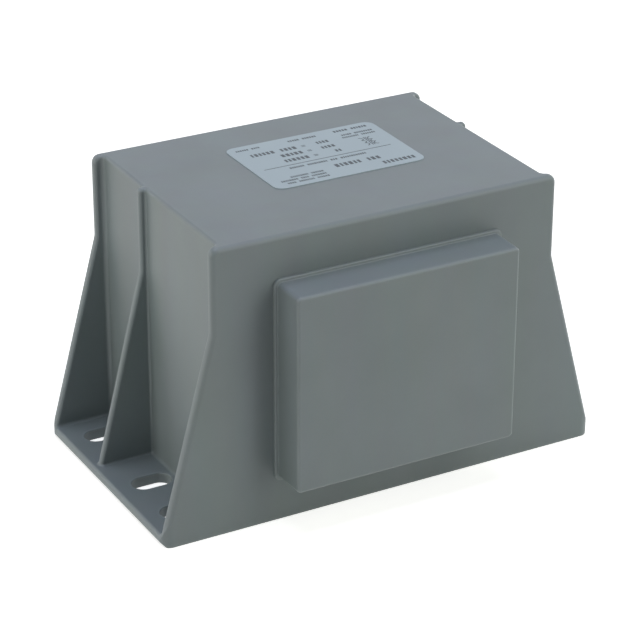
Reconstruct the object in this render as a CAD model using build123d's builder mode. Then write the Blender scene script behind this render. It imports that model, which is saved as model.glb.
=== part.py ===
from build123d import *
import os

# A mains transformer that screws to a chassis: an EI core and its two-chamber coil, cast into a moulded
# housing with slotted base flanges. Millimetres. X runs along the base, -Y is the plain front, +Y the
# terminal side, +Z up. The origin is on the mounting plane, under the middle of the housing.

os.makedirs("parts", exist_ok=True)

# Core sheets: every width follows from the outer limb
limb = 16.0
stack_depth = 62.0
core_hole_diameter = 5.5

# Coil former and turns
bobbin_fit = 0.3
bobbin_wall = 1.5
bobbin_flange = 1.5
bobbin_corner = 7.0
window_clearance = 0.5
primary_chamber = 21.4
wrap_recess = 0.4
wrap_thickness = 0.5
turn_corner = 1.0

# Housing walls, and the resin between them and the core
wall = 3.0
top_wall = 3.0
side_cover = 2.0
face_cover = 5.6
top_cover = 1.4
core_lift = 4.8
resin_recess = 1.5
cavity_corner = 1.5

# Gusset plates, ribs and base flanges at the two ends
gusset_reach = 3.0
flange_reach = 19.4
flange_thickness = 3.3
foot_height = 2.3
foot_chamfer = 1.2
foot_corner = 3.2
kink_height = 63.4
rib_thickness = 2.4
rib_offset = 9.2
rib_inset = 1.1
rib_edge = 1.0
rib_root = 0.8
rib_foot_gap = 0.2
corner_land = 0.6
kink_radius = 3.0
foot_radius = 4.0
outline_radius = 1.5
root_radius = 1.5
floor_radius = 1.0
rim_radius = 1.0

# Mounting slots
slot_length = 12.4
slot_width = 7.2
slot_from_wall = 7.6
slot_outer_row = 26.3
slot_inner_row = 7.2
slot_edge = 0.3

# Winding covers on the front and rear walls
cover_wall = 2.5
cover_side_gap = 2.2
cover_end_gap = 4.5
cover_face_gap = 2.5
cover_corner = 1.5
cover_inner_corner = 1.0
cover_edge = 0.9
cover_draft_degrees = 1.0
step_width = 1.0
step_height = 1.0
step_corner = 2.2
step_edge = 0.5
step_root = 0.4

# Rating label on the top
label_length = 49.8
label_width = 34.3
label_corner = 3.0
label_thickness = 0.2
label_shift_x = 4.4
label_shift_y = 5.7

# Two-pole terminal blocks on the rear wall
terminal_spread = 20.0
terminal_pitch = 10.0
block_margin = 0.5
block_depth = 10.0
block_height = 10.6
block_slope = 1.6
block_edge = 0.4
seat_depth = 1.2
window_margin = 2.0
root_depth = 1.0
entry_diameter = 3.8
entry_lead_in = 0.5
chamber_lift = 1.2
chamber_clearance = 0.2
cage_width = 6.0
cage_depth = 5.4
cage_height = 6.8
cage_wall = 1.0
cage_crown = 1.4
cage_setback = 1.9
bar_width = 3.4
bar_thickness = 1.0
bar_drop = 0.2
bar_end_gap = 0.7
tail_length = 4.0
screw_diameter = 3.0
screw_clearance = 0.1
screw_head_diameter = 5.0
screw_head_height = 1.6
screw_head_lift = 0.4
screw_slot_width = 0.8
screw_slot_depth = 0.8
well_clearance = 0.2

# Sleeved leads from the turns to the terminals
primary_sleeve = 2.0
secondary_sleeve = 2.6
lead_set_in = 2.5
lead_over_flange = 2.2
lead_bend = 2.5
lead_end_bend = 1.3
lead_bury = 4.0
primary_lead_gap = 0.2
primary_lead_step = 10.0
secondary_start_in = 4.2
secondary_finish_in = 2.2

# Core
core_half_x = 3 * limb
core_half_y = stack_depth / 2
core_top = core_lift + 5 * limb
window_low = core_lift + limb
window_high = core_lift + 4 * limb
core_middle = (window_low + window_high) / 2

# Coil
tube_half_x = limb + bobbin_fit
tube_half_y = core_half_y + bobbin_fit
drum_half_x = tube_half_x + bobbin_wall
drum_half_y = tube_half_y + bobbin_wall
coil_half_x = 2 * limb - window_clearance
coil_half_y = core_half_y + limb
bobbin_low = window_low + bobbin_fit
bobbin_high = window_high - bobbin_fit
primary_low = bobbin_low + bobbin_flange
divider_low = primary_low + primary_chamber
secondary_low = divider_low + bobbin_flange
secondary_high = bobbin_high - bobbin_flange
turn_build = coil_half_x - wrap_recess - wrap_thickness - drum_half_x
turn_half_x = drum_half_x + turn_build
turn_half_y = drum_half_y + turn_build
turn_outer_corner = turn_corner + turn_build

# Housing
cavity_half_x = core_half_x + side_cover
cavity_half_y = core_half_y + face_cover
cavity_top = core_top + top_cover
body_half_x = cavity_half_x + wall
body_half_y = cavity_half_y + wall
height = cavity_top + top_wall
gusset_half_x = body_half_x + gusset_reach
top_corner = gusset_reach - corner_land
base_half_x = body_half_x + flange_reach
flange_tops = (flange_thickness / 2, 2 * flange_thickness)
cover_half_x = coil_half_x + cover_side_gap + cover_wall
cover_half_z = (bobbin_high - bobbin_low) / 2 + cover_end_gap + cover_wall
cover_depth = coil_half_y + cover_face_gap + cover_wall - body_half_y
front_cover = Plane((0, -body_half_y, core_middle), x_dir=(1, 0, 0), z_dir=(0, -1, 0))
rear_cover = Plane((0, body_half_y, core_middle), x_dir=(-1, 0, 0), z_dir=(0, 1, 0))
slot_x = body_half_x + slot_from_wall

# Terminals: heights from the seat up, depths from the rear wall's outer face
block_width = 2 * terminal_pitch + 2 * block_margin
seat_z = core_middle + cover_half_z - seat_depth
block_top = seat_z + block_height
block_rear = body_half_y + block_depth
window_width = block_width - 2 * window_margin
window_height = block_height - 2 * window_margin
cage_low = seat_z + chamber_lift
cage_high = cage_low + cage_height
cage_rear = block_rear - cage_setback
cage_front = cage_rear - cage_depth
cage_middle_y = (cage_front + cage_rear) / 2
bar_high = cage_high - cage_crown - bar_drop
bar_low = bar_high - bar_thickness
bar_rear = cage_rear - bar_end_gap
bar_front = cavity_half_y - tail_length
entry_z = (cage_low + cage_wall + bar_low) / 2
head_low = cage_high + screw_head_lift


def fill_cavity(floor, mode):
    """The space inside the housing from a floor height up, with both winding covers."""
    with BuildSketch(Plane.XY.offset(floor)) as plan:
        RectangleRounded(2 * cavity_half_x, 2 * cavity_half_y, cavity_corner)
    extrude(plan.sketch, amount=cavity_top - floor, mode=mode)
    for cover in (front_cover, rear_cover):
        with BuildSketch(cover.offset(-wall)) as pocket:
            RectangleRounded(
                2 * (cover_half_x - cover_wall),
                2 * (cover_half_z - cover_wall),
                cover_inner_corner,
            )
        extrude(pocket.sketch, amount=wall + cover_depth - cover_wall, taper=cover_draft_degrees, mode=mode)


def end_outline(plane, inset, foot_inset):
    """End view of a plate: upright down to the kink, then sloped out to the end of the flange."""
    with BuildSketch(plane) as view:
        with BuildLine():
            Polyline(
                (-base_half_x + foot_inset, 0),
                (base_half_x - foot_inset, 0),
                (base_half_x - foot_inset, foot_height),
                (gusset_half_x - inset, kink_height),
                (gusset_half_x - inset, height),
                (-gusset_half_x + inset, height),
                (-gusset_half_x + inset, kink_height),
                (-base_half_x + foot_inset, foot_height),
                close=True,
            )
        make_face()
        fillet(view.vertices().group_by(Axis.Y)[2], kink_radius)
        fillet(view.vertices().group_by(Axis.Y)[1], foot_radius)
        fillet(view.vertices().group_by(Axis.Y)[-1], top_corner - inset)
    return view.sketch


def round_outline(plate, radius):
    """Rounds the edges of a plate's two flat sides, apart from those along its foot."""
    for direction in (0, -1):
        outline = plate.faces().sort_by(Axis.Y)[direction].edges()
        fillet(outline.filter_by(lambda edge: edge.center().Z > 0), radius)


def end_wall_edges(part):
    """Long edges across the feet and the tops of the end walls, in groups from the base up."""
    across = part.edges().filter_by(Axis.Y).filter_by(lambda edge: edge.length > body_half_y)
    return across.filter_by_position(Axis.X, -gusset_half_x, gusset_half_x).group_by(Axis.Z)


# Rib: a plate through both ends of the housing, set back from the gussets
with BuildPart() as rib:
    rib_view = end_outline(Plane.XZ.offset(-rib_offset), rib_inset, rim_radius + rib_root + rib_foot_gap)
    extrude(rib_view, amount=rib_thickness / 2, both=True)
    round_outline(rib, rib_edge)

# Housing: one moulding, open below
with BuildPart() as housing:
    # End view of the gussets, swept front to back
    extrude(end_outline(Plane.XZ, 0, 0), amount=body_half_y, both=True)
    round_outline(housing, outline_radius)

    # A bay at each end between the gusset plates, with a round floor and rim
    for side in (-1, 1):
        with BuildSketch(Plane.XY.offset(flange_thickness)) as bay:
            with Locations((side * base_half_x, 0)):
                Rectangle(2 * flange_reach, 2 * cavity_half_y)
            fillet(bay.vertices().group_by(Axis.X)[0 if side > 0 else -1], root_radius)
        extrude(amount=height, mode=Mode.SUBTRACT)
    fillet(end_wall_edges(housing)[0], floor_radius)
    fillet(end_wall_edges(housing)[-1], rim_radius)

    # Round corners where the flanges end
    with BuildSketch(Plane.XY):
        Rectangle(2 * base_half_x, 2 * body_half_y)
        RectangleRounded(2 * base_half_x, 2 * body_half_y, foot_corner, mode=Mode.SUBTRACT)
    extrude(amount=kink_height, mode=Mode.SUBTRACT)

    # Lower edges of the flange ends, cut back at 45 degrees
    with BuildSketch(Plane.XZ):
        with Locations((-base_half_x, 0), (base_half_x, 0)):
            Rectangle(foot_chamfer * 2**0.5, foot_chamfer * 2**0.5, rotation=45)
    extrude(amount=body_half_y, both=True, mode=Mode.SUBTRACT)

    # The rib, with round roots on the wall and the flange
    add(rib.part)
    feet = housing.edges().filter_by(Axis.X).filter_by_position(Axis.Z, *flange_tops)
    fillet(feet.filter_by_position(Axis.Y, rib_offset - rib_thickness, rib_offset + rib_thickness), rib_root)

    # Winding covers, each on a stepped rim
    for cover in (front_cover, rear_cover):
        outward = Axis(cover.origin, cover.z_dir)
        with BuildSketch(cover):
            RectangleRounded(2 * (cover_half_x + step_width), 2 * (cover_half_z + step_width), step_corner)
        extrude(amount=step_height)
        fillet(housing.faces().sort_by(outward)[-1].edges(), step_edge)
        with BuildSketch(cover):
            RectangleRounded(2 * cover_half_x, 2 * cover_half_z, cover_corner)
        extrude(amount=cover_depth, taper=cover_draft_degrees)
        fillet(housing.faces().sort_by(outward)[-1].edges(), cover_edge)
        ledge = housing.faces().filter_by(outward).sort_by(outward)[-2]
        fillet(ledge.inner_wires()[0].edges(), step_root)

    fill_cavity(0, Mode.SUBTRACT)

    # Mounting slots: two rows near the corners and one more on the front side of the rib
    with BuildSketch(Plane.XY):
        for y in (-slot_outer_row, -slot_inner_row, slot_outer_row):
            with Locations((-slot_x, y), (slot_x, y)):
                SlotOverall(slot_length, slot_width)
    extrude(amount=flange_thickness, mode=Mode.SUBTRACT)
    tops = housing.faces().filter_by(Axis.Z).filter_by_position(Axis.Z, *flange_tops)
    fillet([edge for top in tops for mouth in top.inner_wires() for edge in mouth.edges()], slot_edge)

    # Seats on the rear cover and windows through the rear wall for the terminal blocks
    for x in (-terminal_spread, terminal_spread):
        with BuildSketch(Plane.XY.offset(seat_z)):
            with Locations((x, body_half_y + block_depth / 2)):
                Rectangle(block_width, block_depth)
        extrude(amount=block_height, mode=Mode.SUBTRACT)
        with BuildSketch(Plane.XZ.offset(-body_half_y)):
            with Locations((x, seat_z + block_height / 2)):
                Rectangle(window_width, window_height)
        extrude(amount=wall, mode=Mode.SUBTRACT)

housing.part.label = "housing"
export_step(housing.part, "parts/housing.step")

# Rating label: a sticker with rounded corners
with BuildPart() as rating_label:
    with BuildSketch(Plane.XY.offset(height)):
        with Locations((label_shift_x, label_shift_y)):
            RectangleRounded(label_length, label_width, label_corner)
    extrude(amount=label_thickness)
rating_label.part.label = "rating_label"
export_step(rating_label.part, "parts/rating_label.step")

# E sheets, with the tongue up and the yoke below
with BuildPart() as e_stack:
    with BuildSketch(Plane.XZ):
        with Locations((0, core_lift)):
            Rectangle(6 * limb, 4 * limb, align=(Align.CENTER, Align.MIN))
        with Locations((-1.5 * limb, window_low), (1.5 * limb, window_low)):
            Rectangle(limb, 3 * limb, align=(Align.CENTER, Align.MIN), mode=Mode.SUBTRACT)
        with Locations((-2.5 * limb, core_lift + limb / 2), (2.5 * limb, core_lift + limb / 2)):
            Circle(core_hole_diameter / 2, mode=Mode.SUBTRACT)
    extrude(amount=core_half_y, both=True)
e_stack.part.label = "e_lamination_stack"
export_step(e_stack.part, "parts/e_lamination_stack.step")

# I sheets, closing the tongue and limbs at the top
with BuildPart() as i_stack:
    with BuildSketch(Plane.XZ):
        with Locations((0, window_high)):
            Rectangle(6 * limb, limb, align=(Align.CENTER, Align.MIN))
        with Locations((-2.5 * limb, window_high + limb / 2), (2.5 * limb, window_high + limb / 2)):
            Circle(core_hole_diameter / 2, mode=Mode.SUBTRACT)
    extrude(amount=core_half_y, both=True)
i_stack.part.label = "i_lamination_stack"
export_step(i_stack.part, "parts/i_lamination_stack.step")

# Turns: each winding is one solid that fills its chamber
windings = {}
chambers = {"primary": (primary_low, divider_low), "secondary": (secondary_low, secondary_high)}
for circuit, (low, high) in chambers.items():
    with BuildPart() as turns:
        with BuildSketch(Plane.XY.offset(low)):
            RectangleRounded(2 * turn_half_x, 2 * turn_half_y, turn_outer_corner)
            Rectangle(2 * drum_half_x, 2 * drum_half_y, mode=Mode.SUBTRACT)
        extrude(amount=high - low)
    turns.part.label = circuit + "_winding"
    export_step(turns.part, "parts/" + circuit + "_winding.step")
    windings[circuit] = turns.part

# Leads: each drops from its contact bar and runs in the gap behind the core to its turns.
# The primary passes outside the bobbin's flanges, and the secondary through its top flange.
run_z = bobbin_high + lead_over_flange
drop_y = cavity_half_y - lead_set_in
outside_y = coil_half_y + primary_lead_gap + primary_sleeve / 2
primary_middle = (primary_low + divider_low) / 2
top = (drop_y, bar_low)
lead_routes = {}
primary_ends = {
    "start": primary_middle + primary_lead_step / 2,
    "finish": primary_middle - primary_lead_step / 2,
}
for end, z in primary_ends.items():
    lead_routes["primary", end] = (
        [top, (drop_y, run_z), (outside_y, run_z), (outside_y, z), (turn_half_y - lead_bury, z)],
        [lead_bend, lead_bend, lead_end_bend],
    )
start_y = drum_half_y + secondary_start_in
lead_routes["secondary", "start"] = (
    [top, (drop_y, run_z + lead_bend), (start_y, run_z - bobbin_flange / 2), (start_y, secondary_high)],
    [lead_bend, lead_bend],
)
finish_y = turn_half_y - secondary_finish_in
lead_routes["secondary", "finish"] = (
    [top, (drop_y, run_z), (finish_y, run_z), (finish_y, secondary_high)],
    [lead_bend, lead_bend],
)
terminal_x = {"primary": -terminal_spread, "secondary": terminal_spread}
sleeve_diameter = {"primary": primary_sleeve, "secondary": secondary_sleeve}
pole_shift = {"start": -terminal_pitch / 2, "finish": terminal_pitch / 2}
leads = {}
for (circuit, end), (points, radii) in lead_routes.items():
    with BuildPart() as lead:
        with BuildLine(Plane.YZ.offset(terminal_x[circuit] + pole_shift[end])) as route:
            FilletPolyline(*points, radius=radii)
        with BuildSketch(Plane(route.line @ 0, z_dir=route.line % 0)):
            Circle(sleeve_diameter[circuit] / 2)
        sweep()
        add(windings[circuit], mode=Mode.SUBTRACT)
    lead.part.label = circuit + "_" + end + "_lead"
    export_step(lead.part, "parts/" + circuit + "_" + end + "_lead.step")
    leads[circuit, end] = lead.part

# Tape round each winding, with holes where its leads come out
for circuit, (low, high) in chambers.items():
    with BuildPart() as wrap:
        with BuildSketch(Plane.XY.offset(low)):
            RectangleRounded(
                2 * (turn_half_x + wrap_thickness),
                2 * (turn_half_y + wrap_thickness),
                turn_outer_corner + wrap_thickness,
            )
            RectangleRounded(2 * turn_half_x, 2 * turn_half_y, turn_outer_corner, mode=Mode.SUBTRACT)
        extrude(amount=high - low)
        for end in pole_shift:
            add(leads[circuit, end], mode=Mode.SUBTRACT)
    wrap.part.label = circuit + "_wrap"
    export_step(wrap.part, "parts/" + circuit + "_wrap.step")

# Bobbin: a square tube on the tongue with two flanges and a divider
with BuildPart() as bobbin:
    with BuildSketch(Plane.XY.offset(bobbin_low)):
        Rectangle(2 * drum_half_x, 2 * drum_half_y)
    extrude(amount=bobbin_high - bobbin_low)
    for z in (bobbin_low, divider_low, secondary_high):
        with BuildSketch(Plane.XY.offset(z)):
            RectangleRounded(2 * coil_half_x, 2 * coil_half_y, bobbin_corner)
        extrude(amount=bobbin_flange)
    with BuildSketch(Plane.XY.offset(bobbin_low)):
        Rectangle(2 * tube_half_x, 2 * tube_half_y)
    extrude(amount=bobbin_high - bobbin_low, mode=Mode.SUBTRACT)
    for end in pole_shift:
        add(leads["secondary", end], mode=Mode.SUBTRACT)
bobbin.part.label = "bobbin"
export_step(bobbin.part, "parts/bobbin.step")

# Terminal blocks: a moulded body with two rising clamps, each pulled up to its bar by a screw
roots = []
for circuit, middle_x in terminal_x.items():
    poles = [middle_x + shift for shift in pole_shift.values()]

    with BuildPart() as body:
        with BuildSketch(Plane.YZ.offset(middle_x)):
            with BuildLine():
                Polyline(
                    (body_half_y, seat_z),
                    (block_rear, seat_z),
                    (block_rear, block_top - block_slope),
                    (block_rear - block_slope, block_top),
                    (body_half_y, block_top),
                    close=True,
                )
            make_face()
        extrude(amount=block_width / 2, both=True)
        back = body.faces().sort_by(Axis.Y)[-1].edges()
        fillet(back.filter_by(Axis.Z) + back.filter_by(Axis.X).sort_by(Axis.Z)[-1:], block_edge)
        with BuildSketch(Plane.XZ.offset(-body_half_y)):
            with Locations((middle_x, seat_z + block_height / 2)):
                Rectangle(window_width, window_height)
        extrude(amount=wall + root_depth)
        for x in poles:
            with BuildSketch(Plane.XY.offset(cage_low)):
                with Locations((x, cage_middle_y)):
                    Rectangle(cage_width + 2 * chamber_clearance, cage_depth + 2 * chamber_clearance)
            extrude(amount=cage_height + chamber_clearance, mode=Mode.SUBTRACT)
            with BuildSketch(Plane.XY.offset(cage_high)):
                with Locations((x, cage_middle_y)):
                    Circle(screw_head_diameter / 2 + well_clearance)
            extrude(amount=block_height, mode=Mode.SUBTRACT)
            with BuildSketch(Plane.XZ.offset(-block_rear)):
                with Locations((x, entry_z)):
                    Circle(entry_diameter / 2)
            extrude(amount=cage_setback, mode=Mode.SUBTRACT)
            with BuildSketch(Plane.XZ.offset(-bar_rear)):
                with Locations((x, bar_low)):
                    Rectangle(bar_width, bar_thickness, align=(Align.CENTER, Align.MIN))
            extrude(amount=bar_rear - bar_front, mode=Mode.SUBTRACT)
        mouths = body.faces().sort_by(Axis.Y)[-1].edges().filter_by(GeomType.CIRCLE)
        chamfer(mouths, entry_lead_in)
    body.part.label = circuit + "_terminal_block"
    export_step(body.part, "parts/" + circuit + "_terminal_block.step")
    roots.append(body.part)

    with BuildPart() as cages:
        for x in poles:
            with BuildSketch(Plane.XZ.offset(-cage_rear)):
                with Locations((x, cage_low)):
                    Rectangle(cage_width, cage_height, align=(Align.CENTER, Align.MIN))
                with Locations((x, cage_low + cage_wall)):
                    Rectangle(
                        cage_width - 2 * cage_wall,
                        cage_height - cage_wall - cage_crown,
                        align=(Align.CENTER, Align.MIN),
                        mode=Mode.SUBTRACT,
                    )
            extrude(amount=cage_depth)
            with BuildSketch(Plane.XY.offset(cage_high)):
                with Locations((x, cage_middle_y)):
                    Circle((screw_diameter + screw_clearance) / 2)
            extrude(amount=-cage_crown, mode=Mode.SUBTRACT)
    cages.part.label = circuit + "_wire_cages"
    export_step(cages.part, "parts/" + circuit + "_wire_cages.step")

    with BuildPart() as bars:
        with BuildSketch(Plane.XZ.offset(-bar_rear)):
            for x in poles:
                with Locations((x, bar_low)):
                    Rectangle(bar_width, bar_thickness, align=(Align.CENTER, Align.MIN))
        extrude(amount=bar_rear - bar_front)
    bars.part.label = circuit + "_contact_bars"
    export_step(bars.part, "parts/" + circuit + "_contact_bars.step")
    roots.append(bars.part)

    with BuildPart() as screws:
        for x in poles:
            with BuildSketch(Plane.XY.offset(bar_high)):
                with Locations((x, cage_middle_y)):
                    Circle(screw_diameter / 2)
            extrude(amount=head_low - bar_high)
            with BuildSketch(Plane.XY.offset(head_low)):
                with Locations((x, cage_middle_y)):
                    Circle(screw_head_diameter / 2)
            extrude(amount=screw_head_height)
            with BuildSketch(Plane.XY.offset(head_low + screw_head_height)):
                with Locations((x, cage_middle_y)):
                    Rectangle(2 * screw_head_diameter, screw_slot_width)
            extrude(amount=-screw_slot_depth, mode=Mode.SUBTRACT)
    screws.part.label = circuit + "_clamp_screws"
    export_step(screws.part, "parts/" + circuit + "_clamp_screws.step")

# Resin: fills the housing round the core and the coil, up to just inside its lower rim
with BuildPart() as resin:
    fill_cavity(resin_recess, Mode.ADD)
    with BuildSketch(Plane.XY.offset(core_lift)):
        Rectangle(2 * core_half_x, 2 * core_half_y)
    extrude(amount=core_top - core_lift, mode=Mode.SUBTRACT)
    with BuildSketch(Plane.XY.offset(bobbin_low)):
        RectangleRounded(2 * coil_half_x, 2 * coil_half_y, bobbin_corner)
    extrude(amount=bobbin_high - bobbin_low, mode=Mode.SUBTRACT)
    for lead_part in leads.values():
        add(lead_part, mode=Mode.SUBTRACT)
    for root in roots:
        add(root, mode=Mode.SUBTRACT)
resin.part.label = "potting_resin"
export_step(resin.part, "parts/potting_resin.step")
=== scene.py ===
import math
import random
import bmesh
import bpy
from mathutils import Euler, Matrix, Vector


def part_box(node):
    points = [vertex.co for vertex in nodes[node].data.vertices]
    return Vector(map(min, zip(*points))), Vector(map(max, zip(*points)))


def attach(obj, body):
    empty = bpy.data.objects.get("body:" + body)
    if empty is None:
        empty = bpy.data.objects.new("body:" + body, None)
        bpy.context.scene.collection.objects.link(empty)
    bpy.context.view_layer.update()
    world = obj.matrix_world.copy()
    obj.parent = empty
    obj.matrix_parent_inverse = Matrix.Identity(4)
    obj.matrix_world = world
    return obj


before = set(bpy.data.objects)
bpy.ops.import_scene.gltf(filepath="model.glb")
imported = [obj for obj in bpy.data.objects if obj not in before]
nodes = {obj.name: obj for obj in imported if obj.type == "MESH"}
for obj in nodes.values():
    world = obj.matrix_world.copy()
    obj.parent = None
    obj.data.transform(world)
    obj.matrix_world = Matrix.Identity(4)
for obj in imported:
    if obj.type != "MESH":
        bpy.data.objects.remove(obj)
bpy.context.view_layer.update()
mm = 0.001

# Core: E and I sheets of silicon steel, half a millimetre thick, punched and stacked into one another.
# The sheets are annealed after punching, which leaves a blue-grey skin, and their cut edges show as fine
# lines on every side of the stack but the two flat ones.


def linear(hex_colour):
    """An sRGB hex colour as the linear colour that a shader takes."""
    channels = [int(hex_colour[i:i + 2], 16) / 255 for i in (1, 3, 5)]
    return [c / 12.92 if c <= 0.04045 else ((c + 0.055) / 1.055) ** 2.4 for c in channels] + [1.0]


def add_node(owner, kind, sockets, **settings):
    """A shader node of a material or the world, with each input set to a value or linked to an output."""
    node = owner.node_tree.nodes.new("ShaderNode" + kind)
    for name, value in settings.items():
        setattr(node, name, value)
    for socket, value in sockets.items():
        if isinstance(value, bpy.types.NodeSocket):
            owner.node_tree.links.new(value, node.inputs[socket])
        else:
            node.inputs[socket].default_value = value
    return node


def new_finish(name, **sockets):
    """A material with its principled shader and its Object coordinates."""
    material = bpy.data.materials.new(name)
    material.use_nodes = True
    shader = material.node_tree.nodes["Principled BSDF"]
    for socket, value in sockets.items():
        shader.inputs[socket.replace("_", " ")].default_value = value
    place = add_node(material, "TexCoord", {}).outputs["Object"]
    return material, shader, place


def shade(material, shader, socket, output):
    """Links an output to one of the shader's sockets."""
    material.node_tree.links.new(output, shader.inputs[socket])


def dress(material, *names):
    """Gives CAD nodes a finish."""
    for name in names:
        nodes[name].data.materials.clear()
        nodes[name].data.materials.append(material)


def band_scale(pitch):
    """The Wave texture's scale that repeats its bands once in a pitch."""
    return math.pi / (10 * pitch)


sheet_thickness = 0.5 * mm
scale_patch = 6 * mm
core_steel, shader, place = new_finish("annealed_silicon_steel", Metallic=1.0)
patches = add_node(core_steel, "TexNoise", {"Vector": place, "Scale": 1 / scale_patch, "Detail": 4.0})
tint = add_node(
    core_steel,
    "Mix",
    {0: patches.outputs["Fac"], 6: linear("#4b4f57"), 7: linear("#74767a")},
    data_type="RGBA",
)
shade(core_steel, shader, "Base Color", tint.outputs[2])
gloss = add_node(core_steel, "MapRange", {"Value": patches.outputs["Fac"], "To Min": 0.35, "To Max": 0.6})
shade(core_steel, shader, "Roughness", gloss.outputs["Result"])
sheets = add_node(
    core_steel, "TexWave", {"Vector": place, "Scale": band_scale(sheet_thickness)}, bands_direction="Y"
)
cut_edges = add_node(
    core_steel, "Bump", {"Height": sheets.outputs["Fac"], "Strength": 0.5, "Distance": 0.1 * mm}
)
shade(core_steel, shader, "Normal", cut_edges.outputs["Normal"])
dress(core_steel, "e_lamination_stack", "i_lamination_stack")

# Bobbin: a two-chamber coil former on the middle limb, moulded in black glass-filled nylon.
# The glass fibres come up at the surface as a faint grey cloud.

fibre_length = 1.5 * mm
former_nylon, shader, place = new_finish("glass_filled_nylon", IOR=1.53)
fibres = add_node(former_nylon, "TexNoise", {"Vector": place, "Scale": 1 / fibre_length, "Detail": 5.0})
tint = add_node(
    former_nylon,
    "Mix",
    {0: fibres.outputs["Fac"], 6: linear("#141516"), 7: linear("#2a2b2d")},
    data_type="RGBA",
)
shade(former_nylon, shader, "Base Color", tint.outputs[2])
gloss = add_node(former_nylon, "MapRange", {"Value": fibres.outputs["Fac"], "To Min": 0.4, "To Max": 0.6})
shade(former_nylon, shader, "Roughness", gloss.outputs["Result"])
dress(former_nylon, "bobbin")

# Windings: enamelled copper wire laid turn beside turn, so each layer shows a row of round wires.
# The enamel is a clear red-brown varnish over the bright metal.

wire_pitches = {"primary_winding": 0.7 * mm, "secondary_winding": 1.6 * mm}
for name, pitch in wire_pitches.items():
    varnish_drift = 4 * pitch
    wire, shader, place = new_finish(
        "enamelled_copper_" + name, Metallic=1.0, Coat_Weight=0.6, Coat_Roughness=0.15
    )
    turns = add_node(wire, "TexWave", {"Vector": place, "Scale": band_scale(pitch)}, bands_direction="Z")
    varnish = add_node(wire, "TexNoise", {"Vector": place, "Scale": 1 / varnish_drift, "Detail": 3.0})
    tint = add_node(
        wire,
        "Mix",
        {0: varnish.outputs["Fac"], 6: linear("#8a3f1f"), 7: linear("#b8622f")},
        data_type="RGBA",
    )
    shade(wire, shader, "Base Color", tint.outputs[2])
    gloss = add_node(wire, "MapRange", {"Value": varnish.outputs["Fac"], "To Min": 0.2, "To Max": 0.35})
    shade(wire, shader, "Roughness", gloss.outputs["Result"])
    rounds = add_node(wire, "Bump", {"Height": turns.outputs["Fac"], "Distance": pitch / 2})
    shade(wire, shader, "Normal", rounds.outputs["Normal"])
    dress(wire, name)

# Wraps: glossy yellow polyester tape, wound over each winding with overlapping edges.
# It clings to the turns, so it has small wrinkles.

tape_overlap = 9 * mm
wrinkle = 2.5 * mm
tape, shader, place = new_finish("polyester_tape", IOR=1.6)
laps = add_node(
    tape,
    "TexWave",
    {"Vector": place, "Scale": band_scale(tape_overlap)},
    bands_direction="Z",
    wave_profile="SAW",
)
tint = add_node(
    tape, "Mix", {0: laps.outputs["Fac"], 6: linear("#c9951f"), 7: linear("#e0b640")}, data_type="RGBA"
)
shade(tape, shader, "Base Color", tint.outputs[2])
wrinkles = add_node(tape, "TexNoise", {"Vector": place, "Scale": 1 / wrinkle, "Detail": 2.0})
gloss = add_node(tape, "MapRange", {"Value": wrinkles.outputs["Fac"], "To Min": 0.15, "To Max": 0.35})
shade(tape, shader, "Roughness", gloss.outputs["Result"])
creases = add_node(
    tape, "Bump", {"Height": wrinkles.outputs["Fac"], "Strength": 0.4, "Distance": 0.2 * mm}
)
shade(tape, shader, "Normal", creases.outputs["Normal"])
dress(tape, "primary_wrap", "secondary_wrap")

# Leads: stranded wire in an extruded sleeve of soft plastic, black for the mains and white for the output.
# The sleeve has a dull skin with the faint weave of the strands below it.

strand = 0.6 * mm
sleeve_tints = {"primary": ("#17181a", "#2b2c2f"), "secondary": ("#c9c8c2", "#e2e1dc")}
for circuit, (dark, pale) in sleeve_tints.items():
    sleeve, shader, place = new_finish("extruded_sleeve_" + circuit, IOR=1.53)
    skin = add_node(sleeve, "TexNoise", {"Vector": place, "Scale": 1 / strand, "Detail": 2.0})
    tint = add_node(
        sleeve, "Mix", {0: skin.outputs["Fac"], 6: linear(dark), 7: linear(pale)}, data_type="RGBA"
    )
    shade(sleeve, shader, "Base Color", tint.outputs[2])
    gloss = add_node(sleeve, "MapRange", {"Value": skin.outputs["Fac"], "To Min": 0.4, "To Max": 0.55})
    shade(sleeve, shader, "Roughness", gloss.outputs["Result"])
    dress(sleeve, circuit + "_start_lead", circuit + "_finish_lead")

# Housing: one moulding in grey glass-filled polyester, with flanges, gussets, ribs and winding covers.
# The mould is spark eroded, which gives the plastic a fine satin grain, and the flow of the glass fibre
# leaves broad faint clouds and streaks in its colour. Its outer edges carry a painted highlight, with a
# little handling wear.

grain = 0.45 * mm  # coarser than the real grain, so that it shows
cloud = 22 * mm
streak = (9 * mm, 9 * mm, 60 * mm)
streak_share = 0.06
grain_share = 0.05
sink_mark = 30 * mm
edge_reach = 1.2 * mm
edge_highlight_share = 0.2
housing_plastic, shader, place = new_finish("satin_grey_polyester", IOR=1.5)
clouds = add_node(housing_plastic, "TexNoise", {"Vector": place, "Scale": 1 / cloud, "Detail": 3.0})
flow = add_node(housing_plastic, "Mapping", {"Vector": place, "Scale": [1 / size for size in streak]})
streaks = add_node(
    housing_plastic, "TexNoise", {"Vector": flow.outputs["Vector"], "Scale": 1.0, "Detail": 4.0}
)
speckle = add_node(housing_plastic, "TexNoise", {"Vector": place, "Scale": 1 / grain, "Detail": 2.0})
clouded = add_node(
    housing_plastic,
    "Mix",
    {0: clouds.outputs["Fac"], 6: linear("#7b8484"), 7: linear("#879092")},
    data_type="RGBA",
)
streaked = add_node(
    housing_plastic,
    "Mix",
    {0: streak_share, 6: clouded.outputs[2], 7: streaks.outputs["Color"]},
    data_type="RGBA",
    blend_type="SOFT_LIGHT",
)
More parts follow.
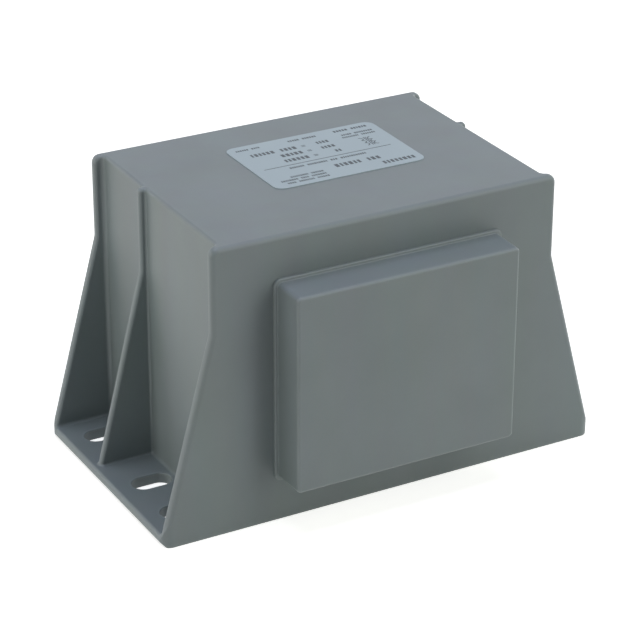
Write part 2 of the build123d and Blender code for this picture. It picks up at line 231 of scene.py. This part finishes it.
grained = add_node(
    housing_plastic,
    "Mix",
    {0: grain_share, 6: streaked.outputs[2], 7: speckle.outputs["Color"]},
    data_type="RGBA",
    blend_type="SOFT_LIGHT",
)
# Painted highlight: the base colour is lightened towards a pale grey along the outer edges, standing in for
# the gloss they catch, with a little handling wear
near_edge = add_node(
    housing_plastic, "AmbientOcclusion", {"Distance": edge_reach}, inside=True, only_local=True, samples=8
)
painted_edge_highlight = add_node(
    housing_plastic,
    "MapRange",
    {
        "Value": near_edge.outputs["AO"],
        "From Min": 0.95,
        "From Max": 0.6,
        "To Min": 0.0,
        "To Max": edge_highlight_share,
    },
)
tint = add_node(
    housing_plastic,
    "Mix",
    {0: painted_edge_highlight.outputs["Result"], 6: grained.outputs[2], 7: linear("#b4bcbc")},
    data_type="RGBA",
)
shade(housing_plastic, shader, "Base Color", tint.outputs[2])
gloss = add_node(
    housing_plastic, "MapRange", {"Value": streaks.outputs["Fac"], "To Min": 0.38, "To Max": 0.5}
)
shade(housing_plastic, shader, "Roughness", gloss.outputs["Result"])
hollows = add_node(housing_plastic, "TexNoise", {"Vector": place, "Scale": 1 / sink_mark, "Detail": 0.0})
sinks = add_node(
    housing_plastic, "Bump", {"Height": hollows.outputs["Fac"], "Strength": 0.6, "Distance": 0.5 * mm}
)
pits = add_node(
    housing_plastic,
    "Bump",
    {
        "Height": speckle.outputs["Fac"],
        "Normal": sinks.outputs["Normal"],
        "Strength": 0.25,
        "Distance": 0.06 * mm,
    },
)
shade(housing_plastic, shader, "Normal", pits.outputs["Normal"])
dress(housing_plastic, "housing")

# Resin: a dark casting compound poured round the core and the coil, and seen only from below.
# It sets level and glossy, with slow ripples and a few small bubbles that broke at the surface.

ripple = 16 * mm
bubble_spacing = 7 * mm
bubble_share = 0.09  # a bubble's radius as a share of that spacing
resin, shader, place = new_finish("cast_polyurethane_resin", IOR=1.52)
ripples = add_node(resin, "TexNoise", {"Vector": place, "Scale": 1 / ripple, "Detail": 3.0})
tint = add_node(
    resin, "Mix", {0: ripples.outputs["Fac"], 6: linear("#1c1d1b"), 7: linear("#2e2f2b")}, data_type="RGBA"
)
shade(resin, shader, "Base Color", tint.outputs[2])
gloss = add_node(resin, "MapRange", {"Value": ripples.outputs["Fac"], "To Min": 0.18, "To Max": 0.34})
shade(resin, shader, "Roughness", gloss.outputs["Result"])
cells = add_node(resin, "TexVoronoi", {"Vector": place, "Scale": 1 / bubble_spacing})
craters = add_node(
    resin, "MapRange", {"Value": cells.outputs["Distance"], "From Min": 0.0, "From Max": bubble_share}
)
waves = add_node(
    resin, "Bump", {"Height": ripples.outputs["Fac"], "Strength": 0.5, "Distance": 0.6 * mm}
)
pocks = add_node(
    resin,
    "Bump",
    {
        "Height": craters.outputs["Result"],
        "Normal": waves.outputs["Normal"],
        "Strength": 0.7,
        "Distance": 0.4 * mm,
    },
)
shade(resin, shader, "Normal", pocks.outputs["Normal"])
dress(resin, "potting_resin")

# Rating label: a pale satin film with rounded corners, stuck on the top and read from the terminal side.
# The film has a very fine coating grain and a slight drift in its tone.

coating = 0.3 * mm  # coarser than the real coating, so that it shows
coating_share = 0.06
drift = 25 * mm
label_film, shader, place = new_finish("satin_label_film", IOR=1.5)
tone = add_node(label_film, "TexNoise", {"Vector": place, "Scale": 1 / drift, "Detail": 2.0})
dust = add_node(label_film, "TexNoise", {"Vector": place, "Scale": 1 / coating, "Detail": 2.0})
toned = add_node(
    label_film, "Mix", {0: tone.outputs["Fac"], 6: linear("#abbabf"), 7: linear("#b8c7ca")}, data_type="RGBA"
)
tint = add_node(
    label_film,
    "Mix",
    {0: coating_share, 6: toned.outputs[2], 7: dust.outputs["Color"]},
    data_type="RGBA",
    blend_type="SOFT_LIGHT",
)
shade(label_film, shader, "Base Color", tint.outputs[2])
gloss = add_node(label_film, "MapRange", {"Value": dust.outputs["Fac"], "To Min": 0.35, "To Max": 0.5})
shade(label_film, shader, "Roughness", gloss.outputs["Result"])
dress(label_film, "rating_label")

# Label print: one pass of dark screen ink on the film. Rows of plain blocks stand where such a label has
# words and values, with a ruled line and the drawing sign of a transformer.

label_low, label_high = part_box("rating_label")
label_middle = (label_low + label_high) / 2
ink_height = 0.02 * mm
line_width = 0.3 * mm
arc_steps = 12
sheet = bmesh.new()

# A letter's width and the gaps after letters and words are shares of its height
letter_widths = (0.32, 0.56)
letter_gap = 0.24
word_gap = 0.9
draw = random.Random(11)


def ink_patch(left, foot, width, height):
    """A rectangle of ink, from its lower left corner as the label is read."""
    patch = bmesh.ops.create_grid(sheet, x_segments=1, y_segments=1, size=0.5)
    bmesh.ops.scale(sheet, vec=(width, height, 1), verts=patch["verts"])
    bmesh.ops.translate(sheet, vec=(left + width / 2, foot + height / 2, 0), verts=patch["verts"])


def ink_words(left, foot, height, lengths):
    """Words of so many letters each, where a letter is a block about half as wide as it is high."""
    for letters in lengths:
        for _ in range(letters):
            width = height * draw.uniform(*letter_widths)
            ink_patch(left, foot, width, height)
            left += width + letter_gap * height
        left += word_gap * height


def ink_arc(centre, radius, start):
    """Half a ring of ink, from a start angle on round to the left."""
    ray = Vector((math.cos(start), math.sin(start), 0))
    inner, outer = radius - line_width / 2, radius + line_width / 2
    ends = [sheet.verts.new(centre + ray * reach) for reach in (inner, outer)]
    edge = sheet.edges.new(ends)
    bmesh.ops.spin(
        sheet, geom=ends + [edge], axis=(0, 0, 1), cent=centre, angle=math.pi, steps=arc_steps
    )


# A line's left end, foot and letter height in millimetres, and the letters in each of its words
upper_lines = (
    (-22.5, 12.6, 2.0, (8,)),
    (-13.2, 8.1, 2.2, (3, 6)),
    (6.5, 13.9, 1.0, (6, 8, 4)),
    (6.5, 12.0, 1.0, (7, 4, 8)),
    (6.5, 10.1, 1.0, (6, 9)),
    (-11.2, 4.0, 1.1, (12, 3, 9, 7)),
)
lower_lines = (
    (-22.0, -9.4, 1.0, (7, 9)),
    (-22.0, -11.3, 1.0, (9, 5)),
    (-22.0, -15.0, 1.3, (6, 5)),
    (-4.5, -14.6, 1.1, (6, 5)),
    (14.5, -14.6, 1.0, (4, 6)),
)
for left, foot, height, lengths in upper_lines:
    ink_words(left * mm, foot * mm, height * mm, lengths)

rule_left, rule_foot, rule_length = -21.0 * mm, 2.2 * mm, 42.4 * mm
ink_patch(rule_left, rule_foot, rule_length, line_width)

# Values, each with its name, an equals sign and its figures
value_rows = (((2,), (6,)), ((4,), (5,)), ((4,), (4, 6)))
first_row, row_step = -1.9 * mm, 4.0 * mm
name_left, name_height = -6.0 * mm, 1.7 * mm
figures_left, figures_height = 5.0 * mm, 2.0 * mm
equals_left, equals_length = 1.8 * mm, 1.3 * mm
equals_lifts = (0.5 * mm, 1.2 * mm)
for row, (name, figures) in enumerate(value_rows):
    foot = first_row - row_step * row
    ink_words(name_left, foot, name_height, name)
    for lift in equals_lifts:
        ink_patch(equals_left, foot + lift, equals_length, line_width)
    ink_words(figures_left, foot, figures_height, figures)

# The sign: two coils of half rings that face two bars
coil_radius = 1.0 * mm
coil_turns = 3
coil_top = -1.2 * mm
coils = ((-18.6 * mm, -math.pi / 2), (-14.8 * mm, math.pi / 2))
for x, start in coils:
    for turn in range(coil_turns):
        ink_arc(Vector((x, coil_top - 2 * coil_radius * turn, 0)), coil_radius, start)
bar_places = (-17.15 * mm, -16.55 * mm)
bar_foot, bar_height = -6.4 * mm, 6.4 * mm
for x in bar_places:
    ink_patch(x - line_width / 2, bar_foot, line_width, bar_height)

for left, foot, height, lengths in lower_lines:
    ink_words(left * mm, foot * mm, height * mm, lengths)

solid = bmesh.ops.extrude_face_region(sheet, geom=list(sheet.faces))
raised = [element for element in solid["geom"] if isinstance(element, bmesh.types.BMVert)]
bmesh.ops.translate(sheet, vec=(0, 0, ink_height), verts=raised)
bmesh.ops.recalc_face_normals(sheet, faces=sheet.faces)
on_label = Matrix.Translation((label_middle.x, label_middle.y, label_high.z))
read_from_rear = Matrix.Rotation(math.pi, 4, "Z")
bmesh.ops.transform(sheet, matrix=on_label @ read_from_rear, verts=sheet.verts)
print_mesh = bpy.data.meshes.new("label_print")
sheet.to_mesh(print_mesh)
sheet.free()
label_print = bpy.data.objects.new("label_print", print_mesh)
bpy.context.collection.objects.link(label_print)

ink_grain = 0.5 * mm
label_ink, shader, place = new_finish("dark_screen_ink", IOR=1.5, Roughness=0.5)
coverage = add_node(label_ink, "TexNoise", {"Vector": place, "Scale": 1 / ink_grain, "Detail": 2.0})
tint = add_node(
    label_ink,
    "Mix",
    {0: coverage.outputs["Fac"], 6: linear("#3c4549"), 7: linear("#5b656a")},
    data_type="RGBA",
)
shade(label_ink, shader, "Base Color", tint.outputs[2])
print_mesh.materials.append(label_ink)
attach(label_print, "root")

# Terminal blocks: a two-pole body for each circuit, moulded in dark nylon and pushed into the rear wall.
# The moulding has a fine matte grain.

block_grain = 0.3 * mm  # coarser than the real grain, so that it shows
terminal_nylon, shader, place = new_finish("matte_terminal_nylon", IOR=1.53)
skin = add_node(terminal_nylon, "TexNoise", {"Vector": place, "Scale": 1 / block_grain, "Detail": 3.0})
tint = add_node(
    terminal_nylon,
    "Mix",
    {0: skin.outputs["Fac"], 6: linear("#2b2e30"), 7: linear("#3b3f41")},
    data_type="RGBA",
)
shade(terminal_nylon, shader, "Base Color", tint.outputs[2])
gloss = add_node(terminal_nylon, "MapRange", {"Value": skin.outputs["Fac"], "To Min": 0.42, "To Max": 0.6})
shade(terminal_nylon, shader, "Roughness", gloss.outputs["Result"])
grains = add_node(
    terminal_nylon, "Bump", {"Height": skin.outputs["Fac"], "Strength": 0.3, "Distance": 0.05 * mm}
)
shade(terminal_nylon, shader, "Normal", grains.outputs["Normal"])
dress(terminal_nylon, "primary_terminal_block", "secondary_terminal_block")

# Clamps: a folded steel cage for each wire, drawn up by a slotted screw. Both are zinc plated, which is
# bright with a faint blue and yellow bloom and fine draw marks.

bloom = 2 * mm
draw_mark = (0.25 * mm, 0.25 * mm, 3 * mm)
zinc_plate, shader, place = new_finish("bright_zinc_plate", Metallic=1.0)
blooms = add_node(zinc_plate, "TexNoise", {"Vector": place, "Scale": 1 / bloom, "Detail": 2.0})
tint = add_node(
    zinc_plate,
    "Mix",
    {0: blooms.outputs["Fac"], 6: linear("#b9bfc6"), 7: linear("#cfcbbd")},
    data_type="RGBA",
)
shade(zinc_plate, shader, "Base Color", tint.outputs[2])
drawn = add_node(zinc_plate, "Mapping", {"Vector": place, "Scale": [1 / size for size in draw_mark]})
marks = add_node(zinc_plate, "TexNoise", {"Vector": drawn.outputs["Vector"], "Scale": 1.0, "Detail": 2.0})
gloss = add_node(zinc_plate, "MapRange", {"Value": marks.outputs["Fac"], "To Min": 0.22, "To Max": 0.42})
shade(zinc_plate, shader, "Roughness", gloss.outputs["Result"])
scratches = add_node(
    zinc_plate, "Bump", {"Height": marks.outputs["Fac"], "Strength": 0.2, "Distance": 0.03 * mm}
)
shade(zinc_plate, shader, "Normal", scratches.outputs["Normal"])
dress(zinc_plate, "primary_wire_cages", "secondary_wire_cages")
dress(zinc_plate, "primary_clamp_screws", "secondary_clamp_screws")

# Contact bars: strips of tinned copper that run from each clamp through the block to its lead.
# Tin is whiter and duller than zinc, with a soft crystal bloom.

crystal = 1.2 * mm
tin_plate, shader, place = new_finish("dull_tin_plate", Metallic=1.0)
crystals = add_node(tin_plate, "TexVoronoi", {"Vector": place, "Scale": 1 / crystal})
tint = add_node(
    tin_plate,
    "Mix",
    {0: crystals.outputs["Distance"], 6: linear("#bdbbb5"), 7: linear("#d3d1cb")},
    data_type="RGBA",
)
shade(tin_plate, shader, "Base Color", tint.outputs[2])
gloss = add_node(
    tin_plate, "MapRange", {"Value": crystals.outputs["Distance"], "To Min": 0.4, "To Max": 0.55}
)
shade(tin_plate, shader, "Roughness", gloss.outputs["Result"])
dress(tin_plate, "primary_contact_bars", "secondary_contact_bars")

# Studio: a plain pale floor under the object, wide enough to fill the view.
# The camera sees it near white, with the object's soft shadow left on it.

floor_radius = 4.0
floor_sides = 96
floor_glow = 0.75
floor_shape = bmesh.new()
bmesh.ops.create_circle(floor_shape, cap_ends=True, segments=floor_sides, radius=floor_radius)
floor_mesh = bpy.data.meshes.new("studio_floor")
floor_shape.to_mesh(floor_mesh)
floor_shape.free()
floor = bpy.data.objects.new("studio_floor", floor_mesh)
bpy.context.collection.objects.link(floor)


def background_seen(owner):
    """One for rays that show the background: from the camera, off a gloss or through a clear piece."""
    path = add_node(owner, "LightPath", {})
    mirrored = add_node(
        owner,
        "Math",
        {0: path.outputs["Is Camera Ray"], 1: path.outputs["Is Glossy Ray"]},
        operation="MAXIMUM",
    )
    seen = add_node(
        owner, "Math", {0: mirrored.outputs[0], 1: path.outputs["Is Transmission Ray"]}, operation="MAXIMUM"
    )
    return seen.outputs[0]


floor_paint = bpy.data.materials.new("pale_studio_floor")
floor_paint.use_nodes = True
surface = floor_paint.node_tree.nodes["Material Output"].inputs["Surface"]
floor_paint.node_tree.nodes.remove(floor_paint.node_tree.nodes["Principled BSDF"])
matt = add_node(floor_paint, "BsdfDiffuse", {"Color": linear("#eeede4")})
glow = add_node(floor_paint, "Emission", {"Color": linear("#ffffff"), "Strength": floor_glow})
bright = add_node(floor_paint, "AddShader", {0: matt.outputs[0], 1: glow.outputs[0]})
paint = add_node(
    floor_paint, "MixShader", {0: background_seen(floor_paint), 1: matt.outputs[0], 2: bright.outputs[0]}
)
floor_paint.node_tree.links.new(paint.outputs[0], surface)
floor_mesh.materials.append(floor_paint)

# Light: a dim white room and six soft boxes, of which the strongest stand off the left end and overhead.
# None faces the front from the left, so the gussets keep their bays dark and the cover shades the wall.

room_level = 0.05
white_level = 1.0
world = bpy.data.worlds.new("studio_room")
bpy.context.scene.world = world
world.use_nodes = True
room = world.node_tree.nodes["Background"]
strength = add_node(
    world, "MapRange", {"Value": background_seen(world), "To Min": room_level, "To Max": white_level}
)
room.inputs["Color"].default_value = linear("#ffffff")
world.node_tree.links.new(strength.outputs["Result"], room.inputs["Strength"])

aim = Vector((-0.2 * mm, 0.11 * mm, 38.71 * mm))


def direction(azimuth, elevation):
    """From the object towards an azimuth and an elevation in degrees, with the front at azimuth 0."""
    turn, lift = math.radians(azimuth), math.radians(elevation)
    return Vector((math.sin(turn) * math.cos(lift), -math.cos(turn) * math.cos(lift), math.sin(lift)))


# Each box's azimuth and elevation in degrees, its watts and its colour
box_width = 0.7
box_distance = 1.3
soft_boxes = {
    "rear_left_box": (-143, 10, 1.8, "#fffffa"),
    "left_box": (-97, 10, 5.1, "#fffff7"),
    "front_right_box": (36, 12, 3.0, "#fcfff8"),
    "high_right_box": (42, 40, 3.2, "#fcfffa"),
    "right_edge_box": (112, 8, 4.0, "#ffffff"),
    "overhead_box": (180, 86, 7.9, "#e2e8ff"),
}
for name, (azimuth, elevation, watts, colour) in soft_boxes.items():
    lamp = bpy.data.lights.new(name, "AREA")
    lamp.shape = "SQUARE"
    lamp.size = box_width
    lamp.energy = watts
    lamp.color = linear(colour)[:3]
    soft_box = bpy.data.objects.new(name, lamp)
    outward = direction(azimuth, elevation)
    soft_box.location = aim + outward * box_distance
    soft_box.rotation_euler = outward.to_track_quat("Z", "Y").to_euler()
    bpy.context.collection.objects.link(soft_box)

# Camera: from the front left and above, with a long lens and a slight roll, as the object was
# photographed.

camera_azimuth, camera_elevation = -29.06, 25.79
camera_distance = 771.4 * mm
camera_roll = math.radians(0.19)
focal_length = 144.48
film_width = 36.0
lens = bpy.data.cameras.new("product_camera")
lens.lens = focal_length
lens.sensor_width = film_width
camera = bpy.data.objects.new("product_camera", lens)
away = direction(camera_azimuth, camera_elevation)
camera.location = aim + away * camera_distance
camera.rotation_mode = "QUATERNION"
camera.rotation_quaternion = away.to_track_quat("Z", "Y") @ Euler((0, 0, camera_roll)).to_quaternion()
bpy.context.collection.objects.link(camera)
bpy.context.scene.camera = camera
bpy.context.scene.view_settings.view_transform = "Standard"
